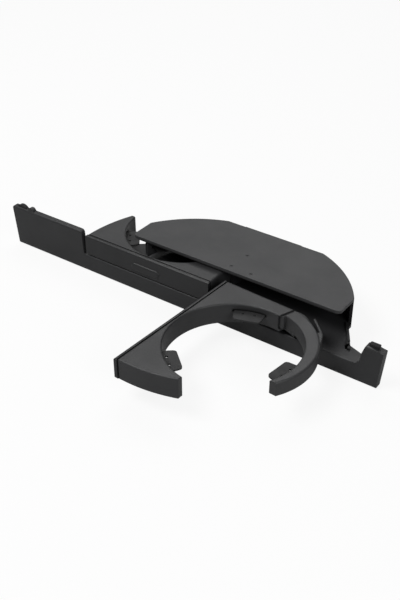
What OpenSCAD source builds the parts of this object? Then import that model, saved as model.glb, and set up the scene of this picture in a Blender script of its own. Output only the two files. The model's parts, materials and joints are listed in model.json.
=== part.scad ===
/* [Front bar] */
// Length of the bar beyond the tip of the stowed left arm
left_end = 63.5; // [50:0.5:80]
// Length of the bar beyond the tip of the stowed right arm
right_end = 13.4; // [12:0.1:25]
// Height of the low strip under the arms
strip_h = 12; // [11:0.25:14]
// Height of the large left end block
left_block_h = 28.7; // [25:0.1:32]
// Height of the small right end block
right_block_h = 25.9; // [22:0.1:29]

/* [Arms] */
// Radius of the ring that holds the cup
cup_r = 38.5; // [37.5:0.25:38.75]
// Height of the arm
arm_h = 13.1; // [12.6:0.1:15]
// Angle through which the open arm is swung out
open_angle = 93; // [88:0.5:93.5]
// Height of the finger that closes the ring
finger_h = 8.8; // [8:0.1:9.2]
// Free length of a rubber tongue
tongue_len = 9; // [7:0.5:10]

/* [Housing] */
// Room of the housing behind the middle of the rings
back_room = 22.2; // [22:0.2:30]
// Front edge of the cover plate
cover_front = 14.2; // [13:0.1:16]
// Thickness of the cover plate
cover_t = 2; // [1.6:0.1:2.6]

/* [Hidden] */
$fn = 64;

// Plain walls of the mouldings
wall = 2.4;
side_wall = 1.8;
floor_t = 2;

// Heights of the layers, from the strip up to the cover plate
arm_z = strip_h + 1.6;
arm_top = arm_z + arm_h;
cover_z = arm_top + 1.8;
cover_top = cover_z + cover_t;
lip_z = arm_top + 0.9;

// Arm, drawn stowed and pointing to the right of its pivot
pivot_x = 7.3;
pivot_y = 3.2;
pivot_r = 1.5;
arm_inner = 1.4;
arm_front = 2.6;
arm_skin = 2;
ring_root = 10.2;
tip_land = 10.3;
ring_x = arm_inner + ring_root + cup_r;
ring_y = cup_r + 3.7;
arm_tip = ring_x + cup_r + tip_land;
arm_reach = arm_tip - pivot_x - 0.1;
arm_back = ring_y + 8.2;
horn_y = ring_y - 3.8;
edge_r = 1;
end_r = 1.5;
seam_r = 0.5;

// Fascia strip in front of an arm
fascia_z = strip_h + 1.1;
fascia_t = 2.1;
fascia_face = 0.9;
fascia_edge = 1.2;
fascia_end = arm_tip + 0.5;
fascia_pins = [20, arm_tip - 12.9];
fascia_pin_r = 1.15;

// Finger and its pin at the back corner of the arm
hinge_x = 6.6;
hinge_y = ring_y + 4.6;
hinge_r = 4;
hinge_pin_r = 1.2;
hinge_skin = 0.8;
finger_top = arm_top - hinge_skin - 0.2;
finger_z = finger_top - finger_h;
finger_in_x = ring_x - 5.1;
finger_in_y = ring_y - 0.6;
finger_in_r = cup_r - 1.2;
finger_out_x = ring_x - 9.4;
finger_out_y = ring_y + 1.4;
finger_out_r = cup_r + 2.8;
finger_end = cup_r - 21.9;
finger_root = 166.5;
finger_ratio = 0.62;
fold_angle = open_angle * finger_ratio;

// Behind this line the underside of the arm is raised
rear_y = 24;
rear_z = finger_z - 1.4;

// Rubber tongues
tongue_t = 1.1;
tongue_room = 0.95;
tongue_hole_r = 0.85;
tongue_z = arm_top - 5.7;
tongue_grip = 2.4;
tongue_half = 8.2;
tip_tongue_a = -37.5;
back_tongue_a = -158.5;
finger_tongue_a = 85.5;

// Pinion, toothed arc, damper and drive spring
tooth_m = 0.8;
arc_teeth = 38;
pinion_teeth = 10;
arc_pitch_r = tooth_m * arc_teeth / 2;
pinion_pitch_r = tooth_m * pinion_teeth / 2;
pinion_a = 12;
pinion_x = pivot_x + (arc_pitch_r + pinion_pitch_r) * cos(pinion_a);
pinion_y = pivot_y + (arc_pitch_r + pinion_pitch_r) * sin(pinion_a);
arc_step = 360 / arc_teeth;
pinion_step = 360 / pinion_teeth;
arc_first = 6;
arc_last = 110;
damper_r = 4.4;
damper_z = 1.2;
spring_z = strip_h - floor_t - 3.9;
damper_top = spring_z - 0.3;

// Catch at the rear of the ledge
catch_r = arm_reach - 10.6;
catch_a = 5.5;
catch_x = pivot_x + catch_r * cos(catch_a);
catch_y = pivot_y + catch_r * sin(catch_a);
striker_t = 1;
channel_t = 1.6;

// Outline of the housing; each arc is a centre and a radius
cover_back = ring_y + back_room;
cover_left = arm_tip - 28.4;
cover_right = arm_tip - 19.3;
left_arc_r = arm_reach - 13.4;
left_arc = [-4.9, cover_back + 4.2 - left_arc_r];
right_arc_r = arm_reach - 16.7;
right_arc = [14.6, cover_back + 4.7 - right_arc_r];
corner_y = ring_y - 10.7;
corner_r = 3;
sweep_room = 3.5;
web_x = 0.9;
web_y = 24;
stud_y = [26, 35.2, 54];
stud_r = 0.8;
snap_x = [-18.6, 27.4];
dip_r = 2;
rim_t = 1.5;

// Ends of the bar and of its blocks beside the tips of the arms
bar_left = arm_tip + left_end;
bar_right = arm_tip + right_end;
block_left = arm_tip + 2.3;
block_right = arm_tip + 1.7;
strip_end = arm_tip + 1.15;

// Rubber pads on the end blocks and the lug beside the left one
left_pad_x = bar_left - 5.6;
right_pad_x = bar_right - 4.6;
lug_x = bar_left - 14.1;

// Moves a stowed shape to where an arm stands when it is swung out
module swung() {
    translate([pivot_x, pivot_y, 0])
        rotate(-open_angle)
            translate([-pivot_x, -pivot_y, 0])
                children();
}

// Folds the finger inwards about its pin
module folded() {
    translate([hinge_x, hinge_y, 0])
        rotate(-fold_angle)
            translate([-hinge_x, -hinge_y, 0])
                children();
}

module flip() {
    mirror([1, 0, 0])
        children();
}

// Disc with a rounded upper edge
module round_disc(r, z0, z1, f) {
    rotate_extrude() {
        translate([0, z0])
            square([r, z1 - z0 - f]);
        translate([0, z0])
            square([r - f, z1 - z0]);
        translate([r - f, z1 - f])
            circle(r = f);
    }
}

// Round hole whose upper edge flares out
module flared_hole(r, z0, z1, f) {
    rotate_extrude() {
        translate([0, z0 - 1])
            square([r, z1 - z0 + 2]);
        difference() {
            translate([0, z1 - f])
                square([r + f, f + 1]);
            translate([r + f, z1 - f])
                circle(r = f);
        }
    }
}

module strip_box(x0, y0, z0, x1, y1, z1) {
    translate([x0, y0, z0])
        cube([x1 - x0, y1 - y0, z1 - z0]);
}

// Sector of a plane, used to cut arcs to length
module sector(a0, a1, r) {
    am = (a0 + a1) / 2;
    polygon([
        [0, 0],
        [r * cos(a0), r * sin(a0)],
        [2 * r * cos(am), 2 * r * sin(am)],
        [r * cos(a1), r * sin(a1)]
    ]);
}

// Plan of the arm between its pivot end, the arc at its tip and the ring
module arm_plan(inset) {
    difference() {
        intersection() {
            translate([pivot_x, pivot_y])
                circle(r = arm_reach - inset);
            translate([arm_inner + inset, arm_front + inset])
                square([arm_reach + 10, arm_back - arm_front - 2 * inset]);
        }
        translate([ring_x, ring_y])
            circle(r = cup_r + inset);
        translate([ring_x, horn_y - inset])
            square([arm_reach, arm_back]);
    }
}

// Everything behind the slanting seam between arm and finger
module beyond_seam() {
    polygon([
        [arm_inner - 3, arm_back + 1],
        [arm_inner + 10.6, arm_back - 3.3],
        [arm_inner + 20, arm_back - 3.3],
        [arm_inner + 20, arm_back + 12],
        [arm_inner - 3, arm_back + 12]
    ]);
}

// Room in the arm for the root of the finger over its whole travel
module hinge_room() {
    translate([hinge_x, hinge_y])
        circle(r = hinge_r + 0.35);
    translate([hinge_x - hinge_r - 0.35, hinge_y])
        square([hinge_r + 12, 8]);
    translate([hinge_x, hinge_y - 0.6])
        square([12, 8]);
    translate([arm_inner - 1, hinge_y + 1.2])
        square([8, 8]);
}

module tongue_pad(a) {
    translate([ring_x, ring_y])
        rotate(a)
            translate([cup_r - 1, -tongue_half - 3.6])
                square([tongue_grip + 2.8, 2 * tongue_half + 7.2]);
}

// Recess from below that leaves plain walls, ribs and pads
module arm_hollow_plan() {
    difference() {
        arm_plan(wall - 0.4);
        beyond_seam();
        translate([pivot_x, pivot_y])
            circle(r = 4.6);
        translate([hinge_x, hinge_y])
            circle(r = hinge_r + 2);
        translate([hinge_x, hinge_y - 2.4])
            square([12, 8]);
        intersection() {
            translate([pivot_x, pivot_y])
                difference() {
                    circle(r = arc_pitch_r - 0.6);
                    circle(r = arc_pitch_r - 2.8);
                }
        }
        tongue_pad(tip_tongue_a);
        tongue_pad(back_tongue_a);
        for (x = fascia_pins)
            translate([x - 3, 0])
                square([6, 9]);
        translate([0, 27])
            square([20, 1.4]);
        translate([arm_tip - 9.3, 0])
            square([1.4, ring_y]);
    }
}

module toothed_arc() {
    translate([pivot_x, pivot_y]) {
        intersection() {
            difference() {
                circle(r = arc_pitch_r - 0.8);
                circle(r = arc_pitch_r - 2.8);
            }
            sector(arc_first - 2, arc_last + 2, 40);
        }
        for (a = [arc_first : arc_step : arc_last])
            rotate(a)
                polygon([
                    [arc_pitch_r - 1.2, -0.82],
                    [arc_pitch_r + 0.7, -0.34],
                    [arc_pitch_r + 0.7, 0.34],
                    [arc_pitch_r - 1.2, 0.82]
                ]);
    }
}

module tongue_slot(a) {
    translate([ring_x, ring_y, tongue_z - 0.05])
        rotate(a)
            translate([cup_r - 3, -tongue_half - 2, 0])
                cube([3 + tongue_grip + 0.1, 2 * tongue_half + 4, tongue_t + tongue_room]);
}

module hinge_lug() {
    translate([0, 0, arm_z])
        linear_extrude(finger_z - arm_z - 0.3)
            intersection() {
                difference() {
                    translate([finger_out_x, finger_out_y])
                        circle(r = finger_out_r - 1.2);
                    translate([finger_in_x, finger_in_y])
                        circle(r = finger_in_r);
                }
                translate([arm_inner, arm_back - 6])
                    square([12, 12.5]);
            }
}

module catch_striker() {
    translate([pivot_x, pivot_y, strip_h + 0.35])
        linear_extrude(arm_z - strip_h)
            intersection() {
                difference() {
                    circle(r = catch_r + striker_t / 2);
                    circle(r = catch_r - striker_t / 2);
                }
                sector(catch_a - 1.9, catch_a + 0.3, arm_reach + 20);
            }
}

// Quarter round along the inner end of the arm and a small one along the seam
module arm_top_rounds() {
    difference() {
        strip_box(arm_inner - 1, -1, arm_top - end_r, arm_inner + end_r, arm_back + 2, arm_top + 1);
        translate([arm_inner + end_r, -2, arm_top - end_r])
            rotate([-90, 0, 0])
                cylinder(r = end_r, h = arm_back + 5);
    }
    difference() {
        strip_box(0, arm_front - 1, arm_top - seam_r, arm_tip + 1, arm_front + seam_r, arm_top + 1);
        translate([-1, arm_front + seam_r, arm_top - seam_r])
            rotate([0, 90, 0])
                cylinder(r = seam_r, h = arm_tip + 3);
    }
}

module arm_shape() {
    difference() {
        union() {
            intersection() {
                translate([pivot_x, pivot_y, 0])
                    round_disc(arm_reach, arm_z, arm_top, edge_r);
                translate([0, 0, arm_z])
                    linear_extrude(arm_h)
                        difference() {
                            arm_plan(0);
                            beyond_seam();
                        }
            }
            strip_box(arm_inner + 1.8, fascia_face + 0.15, fascia_z + 1.4,
                arm_tip - 1.9, arm_front + 0.2, arm_top - 1.4);
            hinge_lug();
            translate([0, 0, strip_h + 1])
                linear_extrude(2)
                    intersection() {
                        translate([pivot_x, pivot_y])
                            circle(r = 2.9);
                        arm_plan(0);
                    }
            translate([0, 0, strip_h + 0.25])
                linear_extrude(arm_z - strip_h + 0.2)
                    intersection() {
                        toothed_arc();
                        arm_plan(0);
                    }
            catch_striker();
        }
        translate([ring_x, ring_y, 0])
            flared_hole(cup_r, arm_z, arm_top, edge_r);
        translate([0, 0, arm_z - 1])
            linear_extrude(arm_h - arm_skin + 1)
                difference() {
                    arm_hollow_plan();
                    translate([pivot_x, pivot_y])
                        rotate(catch_a)
                            translate([catch_r - 3, -5])
                                square([6, 10]);
                }
        translate([0, 0, finger_z - 0.3])
            linear_extrude(finger_h + 0.5)
                hinge_room();
        tongue_slot(tip_tongue_a);
        tongue_slot(back_tongue_a);
        translate([pivot_x, pivot_y, arm_z - 1])
            cylinder(r = pivot_r + 0.06, h = arm_h - 1);
        translate([hinge_x, hinge_y, arm_z - 1])
            cylinder(r = hinge_pin_r + 0.02, h = 8);
        for (x = fascia_pins)
            translate([x, 0, arm_z + arm_h / 2])
                rotate([-90, 0, 0])
                    cylinder(r = fascia_pin_r + 0.1, h = 7);
        strip_box(arm_inner - 3, rear_y, arm_z - 2, arm_inner + 30, arm_back + 10, rear_z);
        arm_top_rounds();
    }
}

// Front strip with a rounded upper edge, rounded ends and a finger recess
module fascia_shape() {
    difference() {
        intersection() {
            translate([arm_inner, 0, 0])
                rotate([90, 0, 90])
                    linear_extrude(fascia_end - arm_inner) {
                        translate([0, fascia_z])
                            square([fascia_t, arm_top - fascia_z - fascia_edge]);
                        translate([fascia_edge, fascia_z])
                            square([fascia_t - fascia_edge, arm_top - fascia_z]);
                        translate([fascia_edge, arm_top - fascia_edge])
                            circle(r = fascia_edge);
                    }
            translate([0, fascia_t, 0])
                rotate([90, 0, 0])
                    linear_extrude(fascia_t)
                        rounded_rect(arm_inner, fascia_z, fascia_end, arm_top, 1);
        }
        strip_box(arm_inner + 1.6, fascia_face, fascia_z + 1.2,
            arm_tip - 1.7, fascia_t + 1, arm_top - 1.2);
        translate([pivot_x, pivot_y, fascia_z - 1])
            cylinder(r = pivot_r + 0.3, h = 4);
        translate([ring_x, -1, (fascia_z + arm_top) / 2 - 1.1])
            rotate([-90, 0, 0])
                linear_extrude(1.5) {
                    square([16, 4.4], center = true);
                    for (x = [-8, 8])
                        translate([x, 0])
                            circle(r = 2.2);
                }
    }
    for (x = fascia_pins)
        translate([x, fascia_face - 0.3, arm_z + arm_h / 2])
            rotate([-90, 0, 0])
                cylinder(r = fascia_pin_r, h = 5.6);
}

module rounded_rect(x0, z0, x1, z1, r) {
    translate([x0 + r, z0])
        square([x1 - x0 - 2 * r, z1 - z0]);
    translate([x0, z0 + r])
        square([x1 - x0, z1 - z0 - 2 * r]);
    for (x = [x0 + r, x1 - r], z = [z0 + r, z1 - r])
        translate([x, z])
            circle(r = r);
}

// Crescent that closes the ring, with its hub and the slotted guide rib
module finger_shape() {
    difference() {
        union() {
            intersection() {
                translate([finger_out_x, finger_out_y, 0])
                    round_disc(finger_out_r, finger_z, finger_top, 1.3);
                translate([finger_in_x, finger_in_y, finger_z])
                    linear_extrude(finger_h)
                        intersection() {
                            sector(50, finger_root, 90);
                            translate([-80, -20])
                                square([80 + finger_end, 120]);
                        }
            }
            translate([0, 0, finger_z])
                linear_extrude(finger_h) {
                    translate([hinge_x, hinge_y])
                        circle(r = hinge_r);
                    polygon([
                        [hinge_x - 3.9, hinge_y + 0.8],
                        [arm_inner - 0.2, arm_back + 1],
                        [arm_inner + 2, arm_back + 3],
                        [hinge_x + 2.9, hinge_y + 4.2],
                        [hinge_x + 3.9, hinge_y + 0.6]
                    ]);
                }
            finger_heel();
            guide_rib();
        }
        translate([finger_in_x, finger_in_y, 0])
            intersection() {
                flared_hole(finger_in_r, finger_z, finger_top, 0.8);
                translate([0, 0, finger_z - 1])
                    linear_extrude(finger_h + 3)
                        sector(30, finger_root + 1.5, 90);
            }
        translate([hinge_x, hinge_y, finger_z - 1])
            cylinder(r = hinge_pin_r + 0.08, h = finger_h + 2);
        translate([hinge_x, hinge_y, finger_z - 1])
            cylinder(r = 3, h = 5.4);
        translate([finger_in_x, finger_in_y, tongue_z - 0.05])
            rotate(finger_tongue_a)
                translate([finger_in_r - 3, -tongue_half - 2, 0])
                    cube([3 + tongue_grip + 0.1, 2 * tongue_half + 4, tongue_t + tongue_room]);
    }
}

// Thin rib, free at one end, that is guided by the wall of the housing
module guide_rib() {
    translate([0, 0, finger_z + 0.8])
        linear_extrude(finger_h - 1.5)
            difference() {
                polygon([
                    [hinge_x - 7, hinge_y + 16.6],
                    [hinge_x + 1.9, hinge_y + 26.6],
                    [hinge_x + 3.9, hinge_y + 28.4],
                    [hinge_x + 10.8, hinge_y + 31.5],
                    [hinge_x + 12, hinge_y + 28],
                    [hinge_x - 1, hinge_y + 14]
                ]);
                polygon([
                    [hinge_x - 6.1, hinge_y + 15.8],
                    [hinge_x + 2.8, hinge_y + 25.8],
                    [hinge_x + 4, hinge_y + 24.6],
                    [hinge_x - 0.5, hinge_y + 13],
                    [hinge_x - 5, hinge_y + 13]
                ]);
            }
}

// Thick root of the finger between its hub and the crescent
module finger_heel() {
    translate([0, 0, finger_z])
        linear_extrude(finger_h - 0.3)
            polygon([
                [arm_inner - 0.2, arm_back + 1],
                [arm_inner - 0.8, arm_back + 3.6],
                [arm_inner - 0.2, arm_back + 6.8],
                [arm_inner + 1.8, arm_back + 10.8],
                [arm_inner + 8, arm_back + 12],
                [arm_inner + 6, arm_back + 2]
            ]);
}

// Rubber tongue pointing at the middle of the ring
module tongue_shape(r) {
    free = r - tongue_len;
    difference() {
        linear_extrude(tongue_t) {
            polygon([
                [free, -tongue_half + 2],
                [free + 1.7, -tongue_half - 0.05],
                [r + tongue_grip, -tongue_half - 1.7],
                [r + tongue_grip, tongue_half + 1.7],
                [free + 1.7, tongue_half + 0.05],
                [free, tongue_half - 2]
            ]);
            for (s = [-1, 1])
                translate([free + 2, s * (tongue_half - 2)])
                    circle(r = 2);
        }
        for (s = [-1, 1])
            translate([r - 2.6, s * 3.5, -1])
                cylinder(r = tongue_hole_r, h = tongue_t + 2);
    }
}

module ring_tongue(a) {
    translate([ring_x, ring_y, tongue_z])
        rotate(a)
            tongue_shape(cup_r);
}

module finger_tongue() {
    translate([finger_in_x, finger_in_y, tongue_z])
        rotate(finger_tongue_a)
            tongue_shape(finger_in_r);
}

module pivot_pin_shape() {
    translate([pivot_x, pivot_y, 1.2])
        cylinder(r = pivot_r, h = arm_z + arm_h - 3.6);
}

module finger_pin_shape() {
    translate([hinge_x, hinge_y, rear_z + 0.2])
        cylinder(r = hinge_pin_r, h = finger_top - rear_z - 0.2);
}

// Wound wire: each level shows the part of a turn that lies within the wire
module coil(r, w, pitch, turns) {
    reach = 360 * w / pitch;
    step = reach / 3;
    outer = [
        for (a = [-reach : step : reach + 0.01])
            let (t = sqrt(max(0, w * w - pow(a * pitch / 360, 2))))
                [(r + t) * cos(a), (r + t) * sin(a)]
    ];
    inner = [
        for (a = [reach - step : -step : -reach + step / 2])
            let (t = sqrt(max(0, w * w - pow(a * pitch / 360, 2))))
                [(r - t) * cos(a), (r - t) * sin(a)]
    ];
    linear_extrude(pitch * turns, twist = -360 * turns, slices = 14 * turns, $fn = 16)
        polygon(concat(outer, inner));
}

module finger_spring_shape() {
    translate([hinge_x, hinge_y, finger_z + 0.35])
        coil(2.2, 0.32, 0.95, 3.5);
}

module drive_spring_shape() {
    translate([pinion_x, pinion_y, spring_z])
        coil(2.9, 0.4, 1.1, 3);
}

// Pinion with its shaft; the turn brings a gap opposite a tooth of the arc
module pinion_shape(arc_at) {
    offset_a = arc_at - arc_first;
    part = offset_a - arc_step * round(offset_a / arc_step);
    turn = pinion_a + 180 + part / arc_step * pinion_step + pinion_step / 2;
    translate([pinion_x, pinion_y, 0]) {
        translate([0, 0, strip_h + 0.25])
            linear_extrude(1.05) {
                circle(r = pinion_pitch_r - 0.8);
                for (k = [0 : pinion_teeth - 1])
                    rotate(turn + k * pinion_step)
                        polygon([
                            [pinion_pitch_r - 1.2, -0.72],
                            [pinion_pitch_r + 0.65, -0.3],
                            [pinion_pitch_r + 0.65, 0.3],
                            [pinion_pitch_r - 1.2, 0.72]
                        ]);
            }
        translate([0, 0, 3])
            cylinder(r = 1, h = strip_h - 2.5);
    }
}

module damper_shape() {
    difference() {
        translate([pinion_x, pinion_y, damper_z])
            union() {
                cylinder(r = damper_r, h = damper_top - damper_z - 0.6);
                cylinder(r = damper_r - 1, h = damper_top - damper_z);
            }
        translate([pinion_x, pinion_y, 2.8])
            cylinder(r = 1.06, h = damper_top);
    }
}

// Plan of the catch block, its sides along the slanting edge of the floor
module catch_plan(grow) {
    translate([catch_x, catch_y])
        polygon([
            [-2.9 - grow, 2.4 + grow],
            [-0.1 + grow, 3 + grow],
            [2.9 + grow, -2.7 - grow],
            [-0.1 - grow, -2.7 - grow]
        ]);
}

// Catch block let into the ledge, with a curved channel for the striker
module catch_shape() {
    difference() {
        translate([0, 0, strip_h - 5])
            linear_extrude(6.3)
                catch_plan(0);
        translate([pivot_x, pivot_y, strip_h - 1.5])
            linear_extrude(8)
                intersection() {
                    difference() {
                        circle(r = catch_r + channel_t / 2);
                        circle(r = catch_r - channel_t / 2);
                    }
                    sector(0.5, catch_a + 0.7, arm_reach + 20);
                }
    }
}

// Plan of the housing, shrunk by the given amount; below the cover its left arc is wider
module housing_plan(inset, wider = 0) {
    intersection() {
        translate([-cover_left - wider + inset, cover_front])
            square([
                cover_left + wider + cover_right - 2 * inset,
                cover_back - cover_front - inset
            ]);
        union() {
            intersection() {
                translate(left_arc)
                    circle(r = left_arc_r + wider - inset);
                translate([-200, 0])
                    square([205, 200]);
            }
            intersection() {
                translate(right_arc)
                    circle(r = right_arc_r - inset);
                translate([5, 0])
                    square([200, 200]);
            }
        }
    }
}

// Outline of the bar seen from the front, end blocks included
module bar_front_plan() {
    difference() {
        union() {
            polygon([
                [-bar_left, 0],
                [bar_right, 0],
                [bar_right + 2, right_block_h - 1.5],
                [block_right + 3.8, right_block_h],
                [block_right + 2.4, right_block_h - 0.9],
                [block_right + 0.8, strip_h + 8],
                [block_right, strip_h + 2.4],
                [block_right - 2.2, strip_h],
                [-block_left, strip_h],
                [-block_left - 0.6, strip_h + 1],
                [-block_left - 1.2, left_block_h - 2],
                [-block_left - 3.2, left_block_h],
                [-bar_left - 0.6, left_block_h],
                [-bar_left - 2.6, left_block_h - 2]
            ]);
            translate([-block_left - 3.2, left_block_h - 2])
                circle(r = 2);
            translate([-bar_left - 0.6, left_block_h - 2])
                circle(r = 2);
        }
        translate([block_right - 2.4, strip_h + 2.4])
            circle(r = 2.4);
    }
}

// Cross-section of the bar from the side, front edges rounded
module bar_side_plan(depth, h) {
    translate([0, 1])
        square([depth, h - 3]);
    translate([1, 0])
        square([depth - 1, 2]);
    translate([1, 1])
        circle(r = 1);
    translate([2, h - 4])
        square([depth - 2, 4]);
    translate([2, h - 2])
        circle(r = 2);
}

module bar_run(x0, x1, depth, h) {
    intersection() {
        translate([0, depth, 0])
            rotate([90, 0, 0])
                linear_extrude(depth)
                    bar_front_plan();
        translate([x0, 0, 0])
            rotate([90, 0, 90])
                linear_extrude(x1 - x0)
                    bar_side_plan(depth, h);
    }
}

module strip_run() {
    translate([-block_left, 0, 0])
        rotate([90, 0, 90])
            linear_extrude(2 * block_left) {
                translate([0, 1])
                    square([wall, strip_h - 1.8]);
                translate([1, 0])
                    square([wall - 1, 2]);
                translate([1, 1])
                    circle(r = 1);
                translate([0.8, strip_h - 2])
                    square([wall - 0.8, 2]);
                translate([0.8, strip_h - 0.8])
                    circle(r = 0.8);
            }
}

module ledge_plan() {
    polygon([
        [-strip_end + 0.1, 1],
        [strip_end, 1],
        [strip_end + 1.2, 5.2],
        [arm_tip - 1.5, 9.5],
        [arm_tip - 10, 12.5],
        [cover_right - 2, corner_y - 0.5],
        [cover_right - 8, corner_y + 4],
        [-cover_left + 8, corner_y + 8],
        [-cover_left - 3.3, corner_y + 4.7],
        [-cover_left - 8.9, corner_y - 0.1],
        [-cover_left - 14.1, corner_y - 4.1],
        [-arm_tip + 10, 12.5],
        [-arm_tip + 1.5, 9.5],
        [-strip_end + 0.1, 5.2]
    ]);
}

// Low rim along the slanting right edge of the floor
module floor_rim() {
    polygon([
        [cover_right - 2, corner_y - 0.5],
        [arm_tip - 11.6, 15.1],
        [arm_tip - 11.6 - 0.85 * rim_t, 15.1 - 0.52 * rim_t],
        [cover_right - 2 - 0.85 * rim_t, corner_y - 0.5 - 0.52 * rim_t]
    ]);
}

// Cup under the floor for a damper; its room is cut out of the base
module under_cup(x) {
    translate([x, pinion_y, 0.8])
        cylinder(r = damper_r + 1.1, h = strip_h - floor_t);
}

module snap_recess(x) {
    strip_box(x - 4.3, cover_back - 1.1, cover_z - 7, x + 4.3, cover_back + 2, cover_z + 1);
    strip_box(x - 2.9, cover_back - 4, cover_z - 6.2, x + 2.9, cover_back, cover_z - 3.8);
}

module base() {
    color([0.13, 0.13, 0.14])
        difference() {
            union() {
                bar_run(-bar_left - 4, -strip_end, 3.5, left_block_h);
                difference() {
                    bar_run(strip_end - 0.05, bar_right + 4, 5.2, right_block_h);
                    strip_box(strip_end + 3.5, wall, wall, bar_right - 1.6, 8, right_block_h - 3.6);
                }
                intersection() {
                    strip_run();
                    strip_box(-strip_end - 0.35, -1, -1, strip_end + 0.95, 10, 60);
                }
                intersection() {
                    translate([0, wall, 0])
                        rotate([90, 0, 0])
                            linear_extrude(wall)
                                bar_front_plan();
                    strip_box(arm_tip - 2.9, -1, 2, strip_end + 0.95, 10, 60);
                }
                translate([0, 0, strip_h - floor_t])
                    linear_extrude(floor_t) {
                        ledge_plan();
                        difference() {
                            housing_plan(0, sweep_room);
                            translate([-arm_tip, 0])
                                square([arm_tip - cover_left, corner_y + 3.5]);
                        }
                    }
                translate([0, 0, strip_h - 0.5])
                    linear_extrude(1.7)
                        floor_rim();
                housing_walls();
                translate([0, 0, strip_h - 1])
                    strip_web();
                for (s = [-1, 1]) {
                    translate([s * pivot_x, pivot_y, 0.8])
                        cylinder(r = 2.9, h = strip_h);
                    under_cup(s * pinion_x);
                }
                translate([-lug_x, 3.2, left_block_h - 0.5])
                    rotate([90, 0, 0])
                        cylinder(r = 2.7, h = 2.6);
                under_ribs();
            }
            for (s = [-1, 1]) {
                translate([s * pivot_x, pivot_y, 1.2])
                    cylinder(r = pivot_r + 0.02, h = 30);
                translate([s * pinion_x, pinion_y, 0])
                    cylinder(r = 1.08, h = 30);
                translate([s * pinion_x, pinion_y, -1])
                    cylinder(r = damper_r + 0.1, h = strip_h - floor_t + 1);
            }
            linear_extrude(30) {
                catch_plan(0.05);
                mirror([1, 0])
                    catch_plan(0.05);
            }
            for (x = snap_x)
                snap_recess(x);
            pad_foot(-left_pad_x, 2, left_block_h - 2, 0.05);
            pad_foot(right_pad_x, 2.7, right_block_h - 2.9, 0.05);
        }
}

// Wall round the back; on the left it stands lower and further out
module housing_walls() {
    translate([0, 0, strip_h - 1])
        linear_extrude(cover_z - strip_h + 0.9)
            difference() {
                housing_plan(0);
                housing_plan(side_wall);
                translate([-arm_tip, 0])
                    square([2 * arm_tip, corner_y]);
                translate([-arm_tip, 0])
                    square([arm_tip + 20, cover_back - side_wall]);
            }
    translate([0, 0, strip_h - 1])
        linear_extrude(cover_z - strip_h - 1)
            difference() {
                housing_plan(0, sweep_room);
                housing_plan(side_wall, sweep_room);
                translate([-arm_tip, 0])
                    square([2 * arm_tip, corner_y + 3.5]);
                translate([-24, 0])
                    square([200, 100]);
            }
}

// Low wall between the two stowed arms; it carries the cover on three studs
module strip_web() {
    strip_box(-web_x, web_y, 0, web_x, cover_back - 1, cover_z - strip_h + 0.9);
    for (y = stud_y)
        translate([0, y, 1])
            cylinder(r = stud_r, h = cover_z - strip_h + 1);
}

module under_ribs() {
    for (s = [-1, 1], x = [30, arm_tip - 38.9, arm_tip - 8.9])
        strip_box(s * x - 0.8, 1, 1.2, s * x + 0.8, 11, strip_h - 1);
    strip_box(-arm_tip + 10.9, 11, 5, arm_tip - 10.9, 12.4, strip_h - 1);
}

// Foot of a rubber pad and, a little larger, the recess that it sits in
module pad_foot(x, y, z, grow) {
    strip_box(x - 1.9 - grow, y - 0.9 - grow, z, x + 1.9 + grow, y + 0.9 + grow, z + 5);
}

module cover_plan() {
    intersection() {
        housing_plan(0);
        union() {
            translate([-cover_left + corner_r, cover_front])
                square([cover_left + cover_right - 2 * corner_r, cover_back]);
            translate([-cover_left, cover_front + corner_r])
                square([cover_left + cover_right, cover_back]);
            for (x = [-cover_left + corner_r, cover_right - corner_r])
                translate([x, cover_front + corner_r])
                    circle(r = corner_r);
        }
    }
    translate([snap_x[0] + 1.6, cover_back - 4])
        square([snap_x[1] - snap_x[0] - 4, 4.4]);
}

module top_cover() {
    color([0.3, 0.3, 0.31])
        difference() {
            union() {
                translate([0, 0, cover_z])
                    linear_extrude(cover_t)
                        cover_plan();
                strip_box(-cover_left + 3.4, cover_front + 0.7, lip_z,
                    cover_right - 4.6, cover_front + 2.1, cover_z + 1);
                for (x = snap_x) {
                    strip_box(x - 4, cover_back - 0.9, cover_z - 6.7,
                        x + 4, cover_back, cover_z + 0.5);
                    strip_box(x - 2.6, cover_back - 1.6, cover_z - 5.9,
                        x + 2.6, cover_back - 0.5, cover_z - 4.2);
                }
            }
            for (y = stud_y)
                translate([0, y, cover_z - 1])
                    cylinder(r = stud_r + 0.05, h = 2.2);
            for (p = [[3.7, 35.2], [2.3, 19.6], [16.9, 18.7]])
                translate([p[0], p[1], cover_top + dip_r - 0.4])
                    sphere(r = dip_r);
        }
}

module left_arm() {
    color([0.3, 0.3, 0.31])
        flip()
            arm_shape();
}

module right_arm() {
    color([0.3, 0.3, 0.31])
        swung()
            arm_shape();
}

module left_fascia() {
    color([0.16, 0.16, 0.17])
        flip()
            fascia_shape();
}

module right_fascia() {
    color([0.16, 0.16, 0.17])
        swung()
            fascia_shape();
}

module left_finger() {
    color([0.27, 0.27, 0.28])
        flip()
            folded()
                finger_shape();
}

module right_finger() {
    color([0.27, 0.27, 0.28])
        swung()
            finger_shape();
}

module left_tongue_tip() {
    color([0.2, 0.2, 0.2])
        flip()
            ring_tongue(tip_tongue_a);
}

module left_tongue_back() {
    color([0.2, 0.2, 0.2])
        flip()
            ring_tongue(back_tongue_a);
}

module left_tongue_finger() {
    color([0.2, 0.2, 0.2])
        flip()
            folded()
                finger_tongue();
}

module right_tongue_tip() {
    color([0.2, 0.2, 0.2])
        swung()
            ring_tongue(tip_tongue_a);
}

module right_tongue_back() {
    color([0.2, 0.2, 0.2])
        swung()
            ring_tongue(back_tongue_a);
}

module right_tongue_finger() {
    color([0.2, 0.2, 0.2])
        swung()
            finger_tongue();
}

module left_pivot_pin() {
    color("silver")
        flip()
            pivot_pin_shape();
}

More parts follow.
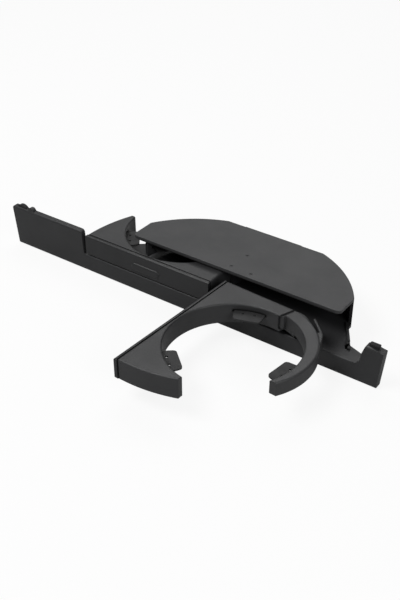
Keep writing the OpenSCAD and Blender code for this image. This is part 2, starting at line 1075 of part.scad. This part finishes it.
module right_pivot_pin() {
    color("silver")
        pivot_pin_shape();
}

module left_finger_pin() {
    color("silver")
        flip()
            finger_pin_shape();
}

module right_finger_pin() {
    color("silver")
        swung()
            finger_pin_shape();
}

module left_finger_spring() {
    color("silver")
        flip()
            finger_spring_shape();
}

module right_finger_spring() {
    color("silver")
        swung()
            finger_spring_shape();
}

module left_pinion() {
    color("white")
        flip()
            pinion_shape(pinion_a);
}

module right_pinion() {
    color("white")
        pinion_shape(pinion_a + open_angle);
}

module left_damper() {
    color([0.25, 0.25, 0.27])
        flip()
            damper_shape();
}

module right_damper() {
    color([0.25, 0.25, 0.27])
        damper_shape();
}

module left_drive_spring() {
    color("silver")
        flip()
            drive_spring_shape();
}

module right_drive_spring() {
    color("silver")
        drive_spring_shape();
}

module left_catch() {
    color([0.06, 0.06, 0.06])
        flip()
            catch_shape();
}

module right_catch() {
    color([0.06, 0.06, 0.06])
        catch_shape();
}

// Rounded rubber pad let into the top of the left end block
module left_pad() {
    color([0.05, 0.05, 0.05]) {
        intersection() {
            translate([-left_pad_x, 3.2, left_block_h - 2.9])
                rotate([90, 0, 0])
                    cylinder(r = 5, h = 2.4);
            strip_box(-left_pad_x - 6, 0, left_block_h, -left_pad_x + 6, 5, left_block_h + 5);
        }
        intersection() {
            pad_foot(-left_pad_x, 2, left_block_h - 1.9, 0);
            strip_box(-bar_left, 0, 0, 0, 5, left_block_h + 0.5);
        }
    }
}

module right_pad() {
    color([0.05, 0.05, 0.05]) {
        strip_box(right_pad_x - 2.9, 1.4, right_block_h, right_pad_x + 2.9, 4.2, right_block_h + 1.4);
        intersection() {
            pad_foot(right_pad_x, 2.7, right_block_h - 2.8, 0);
            strip_box(0, 0, 0, bar_right, 8, right_block_h + 0.5);
        }
    }
}

base();
top_cover();
left_arm();
left_fascia();
left_finger();
right_arm();
right_fascia();
right_finger();
left_tongue_tip();
left_tongue_back();
left_tongue_finger();
right_tongue_tip();
right_tongue_back();
right_tongue_finger();
left_pivot_pin();
right_pivot_pin();
left_finger_pin();
right_finger_pin();
left_finger_spring();
right_finger_spring();
left_pinion();
right_pinion();
left_damper();
right_damper();
left_drive_spring();
right_drive_spring();
left_catch();
right_catch();
left_pad();
right_pad();
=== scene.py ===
import json
import math

import bmesh
import bpy
from mathutils import Matrix, Vector


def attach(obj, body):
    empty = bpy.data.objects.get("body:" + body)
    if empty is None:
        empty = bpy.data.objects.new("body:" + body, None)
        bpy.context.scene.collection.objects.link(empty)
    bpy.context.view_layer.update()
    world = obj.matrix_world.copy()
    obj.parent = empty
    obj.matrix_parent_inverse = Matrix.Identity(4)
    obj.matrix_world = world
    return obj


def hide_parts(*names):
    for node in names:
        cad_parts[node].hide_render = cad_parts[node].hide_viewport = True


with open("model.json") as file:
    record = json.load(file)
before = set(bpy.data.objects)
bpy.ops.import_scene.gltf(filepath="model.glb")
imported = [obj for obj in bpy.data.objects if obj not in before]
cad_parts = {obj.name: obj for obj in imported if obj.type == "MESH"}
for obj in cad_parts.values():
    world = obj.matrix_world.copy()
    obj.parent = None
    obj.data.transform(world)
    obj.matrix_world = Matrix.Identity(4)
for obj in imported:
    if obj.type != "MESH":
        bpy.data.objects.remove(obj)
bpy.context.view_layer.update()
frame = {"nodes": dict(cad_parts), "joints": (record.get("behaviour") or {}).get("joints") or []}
nodes = frame["nodes"]
scene = bpy.context.scene

# Lengths are metres, but millimetres in stowed arm coordinates: x along the arm, away from
# the middle of the bar, y into the dashboard, z up. The left arm is the mirror image of
# these, and the right one is swung out about its pivot.
MM = 0.001
PIVOT = Vector((7.3, 3.2, 0))
OPEN = next(j for j in frame["joints"] if j["name"] == "right_arm")["range_deg"][1]
TO_LEFT = Matrix.Scale(MM, 4) @ Matrix.Diagonal((-1, 1, 1, 1))
TO_RIGHT = (
    Matrix.Scale(MM, 4) @ Matrix.Translation(PIVOT)
    @ Matrix.Rotation(math.radians(-OPEN), 4, "Z") @ Matrix.Translation(-PIVOT)
)

# Painted shade of dips and of the arm seam, and soft edges, in the materials
EJECTOR_DIP_SHADE_PLACES = ((3.7, 35.2), (2.3, 19.6), (16.9, 18.7))  # x, y on the cover, millimetres, of ejector dips painted dark as their shade
DIP_SHADE_RADIUS = 0.0012
DIP_SHADE_CORE = 0.4  # share of the radius that has the full painted shade
SEAM_SHADE_FADE = (2.85, 3.10)  # y over which the painted shade of the seam ends, stowed arm coordinates
EDGE_SAMPLES = 6

# Front strip of an arm, in stowed arm coordinates
RECESS = ((38, 62), (0.001, 0.6), (16, 22))  # from and to along x, y and z
PAD_X = (38.9, 61)
PAD_Z = (15.1, 20.4)
PAD_RADIUS = 2.4
PAD_PROFILE = (  # inset and y of each loop, from inside the strip to the top of the pad
    (0, 0.35), (0, 0), (0.15, -0.35), (0.4, -0.6), (0.85, -0.74), (1.6, -0.8),
)
CORNER_STEPS = 8
WELD_WITHIN = 2e-6
THINNEST_EDGE = 1e-6
SMOOTH_UP_TO = math.radians(35)

# Camera, solved from the straight edges in the photograph; angles in degrees
CAMERA_PLACE = (0.2593, -0.3718, 0.3238)
CAMERA_AZIMUTH = 35.65
CAMERA_ELEVATION = 34.25
CAMERA_ROLL = 0.055
CAMERA_LENS = 54.4
SENSOR_WIDTH = 36
CLIP_NEAR, CLIP_FAR = 0.01, 20

# Stage
WHITE = (1, 1, 1, 1)
FLOOR_HALF_SIDE = 6
FLOOR_Z = -0.0004
FLOOR_ROUGHNESS = 0.9
FLOOR_TONE_TO_PART = (0.38, 0.38, 0.38, 1)
FLOOR_TONE_SEEN = (0.90, 0.90, 0.90, 1)
FLOOR_GLOW = (  # share of even white in the floor, by the kind of ray that meets it
    ("Is Camera Ray", 0.88), ("Is Transmission Ray", 0.88), ("Is Glossy Ray", 0.12),
)
BACKDROP_LIGHT = 0.11
SOFTBOXES = (  # name, place, aim, width and height, watts
    ("overhead", (-0.40, 0.72, 1.00), (0, 0, 0), (1.1, 0.7), 5),
    ("right_side", (1.00, -0.45, 0.60), (0.02, 0, 0), (0.6, 0.6), 5),
    ("front_left", (-0.42, -0.52, 1.05), (0, 0, 0), (0.7, 0.45), 9),
)


# Nodes and materials

def set_inputs(node, values):
    """Give each input its constant, or a link where the value is another node's output."""
    for key, value in values.items():
        if isinstance(value, bpy.types.NodeSocket):
            node.id_data.links.new(value, node.inputs[key])
        else:
            node.inputs[key].default_value = value


def add_node(tree, kind, inputs, **settings):
    made = tree.nodes.new("ShaderNode" + kind)
    for key, value in settings.items():
        setattr(made, key, value)
    set_inputs(made, inputs)
    return made


class Shade:
    """A node material built step by step, with its Principled shader at the end."""

    def __init__(self, name):
        self.mat = bpy.data.materials.new(name)
        self.mat.use_nodes = True
        self.coords = self.add("TexCoord", "Object", {})

    def add(self, kind, output, inputs, **settings):
        """The named output of a new node."""
        return add_node(self.mat.node_tree, kind, inputs, **settings).outputs[output]

    def noise(self, scale, detail, rough, stretch=None):
        source = self.coords
        if stretch:
            source = self.add("Mapping", "Vector", {"Vector": source, "Scale": stretch})
        inputs = {"Vector": source, "Scale": scale, "Detail": detail, "Roughness": rough}
        return self.add("TexNoise", "Fac", inputs)

    def cells(self, scale):
        return self.add("TexVoronoi", "Distance", {"Vector": self.coords, "Scale": scale})

    def ramp(self, value, low, high, start=0.35, end=0.65):
        inputs = {"From Min": start, "From Max": end, "To Min": low, "To Max": high}
        return self.add("MapRange", "Result", {"Value": value, **inputs})

    def larger(self, first, second):
        return self.add("Math", "Value", {0: first, 1: second}, operation="MAXIMUM")

    def mixed(self, share, first, second):
        """The first colour with its share of the second."""
        inputs = {"Factor": share, "A": first, "B": second}
        return self.add("Mix", "Result", inputs, data_type="RGBA")

    def spots(self, places, radius):
        """One at the given x, y places in millimetres, fading to none at the radius."""
        inputs = {0: self.coords, 1: (1, 1, 0)}
        flat = self.add("VectorMath", "Vector", inputs, operation="MULTIPLY")
        total = None
        for x, y in places:
            inputs = {0: flat, 1: (x * MM, y * MM, 0)}
            far = self.add("VectorMath", "Value", inputs, operation="DISTANCE")
            near = self.ramp(far, 1, 0, start=radius * DIP_SHADE_CORE, end=radius)
            total = near if total is None else self.larger(total, near)
        return total

    def painted_seam_shade(self, place):
        """Mask of painted shade: one where an arm faces its front strip across the seam, none
        behind that.
        """
        spot, turn, size = place.inverted().decompose()
        inputs = {"Location": spot, "Rotation": turn.to_euler(), "Scale": size}
        stowed = self.add("Mapping", "Vector", {"Vector": self.coords, **inputs})
        y = self.add("SeparateXYZ", "Y", {"Vector": stowed})
        start, end = SEAM_SHADE_FADE
        return self.ramp(y, 1, 0, start=start, end=end)

    def soft_edges(self, radius):
        """The normal as if each sharp edge were rounded."""
        return self.add("Bevel", "Normal", {"Radius": radius}, samples=EDGE_SAMPLES)

    def bump(self, height, strength, distance, before=None):
        """The normal with relief, on top of the normal before it if there is one."""
        inputs = {"Height": height, "Strength": strength, "Distance": distance}
        if before is not None:
            inputs["Normal"] = before
        return self.add("Bump", "Normal", inputs)

    def finished(self, colour, rough, normal, constants=None):
        """The material, with its shader joined up."""
        inputs = {"Base Color": colour, "Roughness": rough, "Normal": normal}
        shader = self.mat.node_tree.nodes["Principled BSDF"]
        set_inputs(shader, {**inputs, **(constants or {})})
        return self.mat


def scaled(colour, k):
    """The colour made lighter or darker, with its alpha."""
    return (*(c * k for c in colour), 1)


def moulded(name, colour, rough, depth=0.25, mottle=0.10, edge=0.0004, shaded_dips=(), seam_shade_place=None):
    """Moulded plastic: fine spark-eroded grain, slow colour drift, dust and uneven sheen.

    Small dips at the given places are painted dark as their shade, and an arm at the given place
    gets painted shade in the seam behind its front strip.
    """
    s = Shade(name)
    drift = s.ramp(s.noise(scale=14, detail=3, rough=0.55), 0, 1)
    tone = s.mixed(drift, scaled(colour, 1 - mottle), scaled(colour, 1 + mottle))
    dust = s.ramp(s.noise(scale=420, detail=4, rough=0.7), 0, 0.22, start=0.60, end=0.80)
    tone = s.mixed(dust, tone, scaled(colour, 1.9))
    if shaded_dips:
        # Painted shade: each dip is darkened to a fifth of the colour, as the shade inside it.
        tone = s.mixed(s.spots(shaded_dips, DIP_SHADE_RADIUS), tone, scaled(colour, 0.2))
    sheen = s.ramp(s.noise(scale=38, detail=3, rough=0.6), rough - 0.05, rough + 0.06)
    if seam_shade_place is not None:
        # Painted shade: the arm is darkened almost to black in the gap behind its front strip,
        # and made rougher there.
        seam_shade = s.painted_seam_shade(seam_shade_place)
        tone = s.mixed(seam_shade, tone, scaled(colour, 0.05))
        sheen = s.larger(sheen, seam_shade)
    edges = s.soft_edges(edge)
    pits = s.bump(s.cells(scale=2600), strength=depth, distance=0.00006, before=edges)
    waves = s.noise(scale=60, detail=2, rough=0.5)
    skin = s.bump(waves, strength=0.12, distance=0.0005, before=pits)
    return s.finished(tone, sheen, skin)


def soft_rubber(name, colour, rough=0.62):
    """Matt rubber: slow colour drift and a fine tooth."""
    s = Shade(name)
    drift = s.ramp(s.noise(scale=55, detail=3, rough=0.6), 0, 1)
    tone = s.mixed(drift, scaled(colour, 0.85), scaled(colour, 1.2))
    sheen = s.ramp(s.noise(scale=160, detail=2, rough=0.5), rough - 0.06, rough + 0.06)
    tooth = s.bump(s.noise(scale=1500, detail=3, rough=0.6), strength=0.3, distance=0.0001)
    return s.finished(tone, sheen, tooth, {"Specular IOR Level": 0.4})


def steel(name, colour, rough=0.28, stretch=(1, 1, 30)):
    """Drawn or ground steel; its fine lines run across the axes with the larger stretch."""
    s = Shade(name)
    lines = s.noise(scale=900, detail=3, rough=0.6, stretch=stretch)
    tone = s.mixed(s.ramp(lines, 0, 1), scaled(colour, 0.82), scaled(colour, 1))
    sheen = s.ramp(lines, rough - 0.06, rough + 0.1)
    scratches = s.bump(lines, strength=0.1, distance=0.00005)
    return s.finished(tone, sheen, scratches, {"Metallic": 1.0})


housing = moulded("housing_plastic", (0.024, 0.0243, 0.0255), rough=0.46, edge=0.0002)
# The cover's ejector dips are painted dark as their shade.
cover = moulded(
    "cover_plastic", (0.046, 0.0465, 0.048), rough=0.50, mottle=0.06, shaded_dips=EJECTOR_DIP_SHADE_PLACES,
)
# Each arm gets painted shade in the seam behind its front strip.
left_arm, right_arm = (
    moulded(
        "arm_plastic" + side, (0.032, 0.0324, 0.0336),
        rough=0.46, mottle=0.06, edge=0.0013, seam_shade_place=place,
    )
    for side, place in (("_left", TO_LEFT), ("_right", TO_RIGHT))
)
fascia = moulded("fascia_plastic", (0.018, 0.0183, 0.0193), rough=0.42)
finger = moulded(
    "finger_plastic", (0.035, 0.0354, 0.0367), rough=0.45, mottle=0.06, edge=0.001,
)
tongue = soft_rubber("tongue_rubber", (0.027, 0.027, 0.0275))
pad = soft_rubber("pad_rubber", (0.012, 0.012, 0.0125), rough=0.7)
catch = moulded("catch_plastic", (0.005, 0.005, 0.0052), rough=0.5, depth=0.1)
gear = moulded("gear_plastic", (0.62, 0.61, 0.57), rough=0.4, depth=0.1, mottle=0.04)
damper = moulded("damper_plastic", (0.03, 0.03, 0.034), rough=0.35, depth=0.1)
pin = steel("pin_steel", (0.62, 0.62, 0.63))
spring = steel("spring_steel", (0.55, 0.55, 0.57), rough=0.32, stretch=(6, 6, 1))

# By the CAD node's name, or what follows left_ or right_ in it
LOOKS = {
    "base": housing,
    "top_cover": cover,
    "left_arm": left_arm,
    "right_arm": right_arm,
    "fascia": fascia,
    "finger": finger,
    "tongue_tip": tongue,
    "tongue_back": tongue,
    "tongue_finger": tongue,
    "pivot_pin": pin,
    "finger_pin": pin,
    "finger_spring": spring,
    "drive_spring": spring,
    "pinion": gear,
    "damper": damper,
    "catch": catch,
    "pad": pad,
}


def keep_flats(obj):
    """Shade large flat faces as flat where they run into a rounded edge."""
    obj.modifiers.new("flat_faces_stay_flat", "WEIGHTED_NORMAL").keep_sharp = True


for name, obj in nodes.items():
    key = name if name in LOOKS else name.split("_", 1)[1]
    obj.data.materials.clear()
    obj.data.materials.append(LOOKS[key])
    keep_flats(obj)


# Refined pieces

def rounded_loop(inset, y):
    """Points round the push pad at the given depth, shrunk by the inset."""
    radius = PAD_RADIUS - inset
    left, right = PAD_X[0] + PAD_RADIUS, PAD_X[1] - PAD_RADIUS
    low, high = PAD_Z[0] + PAD_RADIUS, PAD_Z[1] - PAD_RADIUS
    points = []
    for x, z, start in ((right, low, -90), (right, high, 0), (left, high, 90), (left, low, 180)):
        for k in range(CORNER_STEPS + 1):
            a = math.radians(start + 90 * k / CORNER_STEPS)
            points.append(Vector((x + radius * math.cos(a), y, z + radius * math.sin(a))))
    return points


def add_loft(b, loops, place):
    """Closed skin over a row of loops with as many points each."""
    rows = [[b.verts.new(place @ p) for p in loop] for loop in loops]
    n = len(rows[0])
    faces = [b.faces.new(rows[0][::-1]), b.faces.new(rows[-1])]
    for low, high in zip(rows, rows[1:]):
        for k in range(n):
            faces.append(b.faces.new((low[k], low[(k + 1) % n], high[(k + 1) % n], high[k])))
    bmesh.ops.recalc_face_normals(b, faces=faces)


def fascia_with_pad(side, place):
    """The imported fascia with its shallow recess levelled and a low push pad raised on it."""
    node = side + "_fascia"
    b = bmesh.new()
    b.from_mesh(nodes[node].data)
    back = place.inverted()
    for v in b.verts:
        p = back @ v.co
        if all(start < c < end for c, (start, end) in zip(p, RECESS)):
            p.y = 0
            v.co = place @ p
    bmesh.ops.remove_doubles(b, verts=b.verts, dist=WELD_WITHIN)
    bmesh.ops.dissolve_degenerate(b, edges=b.edges, dist=THINNEST_EDGE)
    add_loft(b, [rounded_loop(inset, y) for inset, y in PAD_PROFILE], place)

    mesh = bpy.data.meshes.new(side + "_fascia_strip")
    b.to_mesh(mesh)
    b.free()
    mesh.polygons.foreach_set("use_smooth", [True] * len(mesh.polygons))
    mesh.set_sharp_from_angle(angle=SMOOTH_UP_TO)
    mesh.materials.append(fascia)
    made = bpy.data.objects.new(side + "_fascia_strip", mesh)
    scene.collection.objects.link(made)
    keep_flats(made)
    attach(made, side + "_cup_arm")
    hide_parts(node)


fascia_with_pad("left", TO_LEFT)
fascia_with_pad("right", TO_RIGHT)


# Camera, floor, backdrop and lights

def look_from(position, azimuth, elevation, roll):
    """The camera's matrix. It looks along y at azimuth 0, and from further right above 0."""
    a, e = math.radians(azimuth), math.radians(elevation)
    ahead = Vector((-math.sin(a) * math.cos(e), math.cos(a) * math.cos(e), -math.sin(e)))
    right = Vector((math.cos(a), math.sin(a), 0))
    up = right.cross(ahead)
    turn = Matrix.Rotation(math.radians(roll), 3, ahead)
    right, up = turn @ right, turn @ up
    return Matrix((
        (right.x, up.x, -ahead.x, position[0]),
        (right.y, up.y, -ahead.y, position[1]),
        (right.z, up.z, -ahead.z, position[2]),
        (0, 0, 0, 1),
    ))


def add_camera():
    data = bpy.data.cameras.new("camera")
    data.sensor_fit = "AUTO"
    data.sensor_width = SENSOR_WIDTH
    data.lens = CAMERA_LENS
    data.clip_start, data.clip_end = CLIP_NEAR, CLIP_FAR
    made = bpy.data.objects.new("camera", data)
    scene.collection.objects.link(made)
    made.matrix_world = look_from(CAMERA_PLACE, CAMERA_AZIMUTH, CAMERA_ELEVATION, CAMERA_ROLL)
    scene.camera = made


def floor_material():
    """Almost even white to the camera, a darker grey in the light that it throws back."""
    made = bpy.data.materials.new("floor_white")
    made.use_nodes = True
    tree = made.node_tree
    rays = add_node(tree, "LightPath", {}).outputs
    inputs = {"Factor": rays["Is Camera Ray"], "A": FLOOR_TONE_TO_PART, "B": FLOOR_TONE_SEEN}
    tone = add_node(tree, "Mix", inputs, data_type="RGBA").outputs["Result"]
    matt = tree.nodes["Principled BSDF"]
    set_inputs(matt, {
        "Base Color": tone, "Roughness": FLOOR_ROUGHNESS, "Specular IOR Level": 0.0,
    })
    glow = 0
    for ray, share in FLOOR_GLOW:
        inputs = {0: rays[ray], 1: share, 2: glow}
        glow = add_node(tree, "Math", inputs, operation="MULTIPLY_ADD").outputs[0]
    even = add_node(tree, "Emission", {"Color": WHITE, "Strength": 1.0})
    inputs = {"Fac": glow, 1: matt.outputs[0], 2: even.outputs[0]}
    mix = add_node(tree, "MixShader", inputs)
    set_inputs(tree.nodes["Material Output"], {"Surface": mix.outputs[0]})
    return made


def add_floor():
    mesh = bpy.data.meshes.new("floor")
    b = bmesh.new()
    bmesh.ops.create_grid(b, x_segments=1, y_segments=1, size=FLOOR_HALF_SIDE)
    b.to_mesh(mesh)
    b.free()
    mesh.materials.append(floor_material())
    made = bpy.data.objects.new("floor", mesh)
    made.location.z = FLOOR_Z
    scene.collection.objects.link(made)


def add_backdrop():
    """Clean white to the camera, and a faint even light for everything else."""
    world = bpy.data.worlds.new("studio")
    world.use_nodes = True
    scene.world = world
    tree = world.node_tree
    faint = tree.nodes["Background"]
    set_inputs(faint, {"Color": WHITE, "Strength": BACKDROP_LIGHT})
    clean = add_node(tree, "Background", {"Color": WHITE, "Strength": 1.0})
    rays = add_node(tree, "LightPath", {}).outputs
    inputs = {"Fac": rays["Is Camera Ray"], 1: faint.outputs[0], 2: clean.outputs[0]}
    pick = add_node(tree, "MixShader", inputs)
    set_inputs(tree.nodes["World Output"], {"Surface": pick.outputs[0]})


def add_softbox(name, place, aim, size, watts):
    data = bpy.data.lights.new(name, "AREA")
    data.shape = "RECTANGLE"
    data.size, data.size_y = size
    data.energy = watts
    made = bpy.data.objects.new(name, data)
    scene.collection.objects.link(made)
    made.location = place
    made.rotation_mode = "QUATERNION"
    made.rotation_quaternion = (Vector(aim) - Vector(place)).to_track_quat("-Z", "Y")


add_camera()
add_floor()
add_backdrop()
for softbox in SOFTBOXES:
    add_softbox(*softbox)

scene.view_settings.view_transform = "Standard"
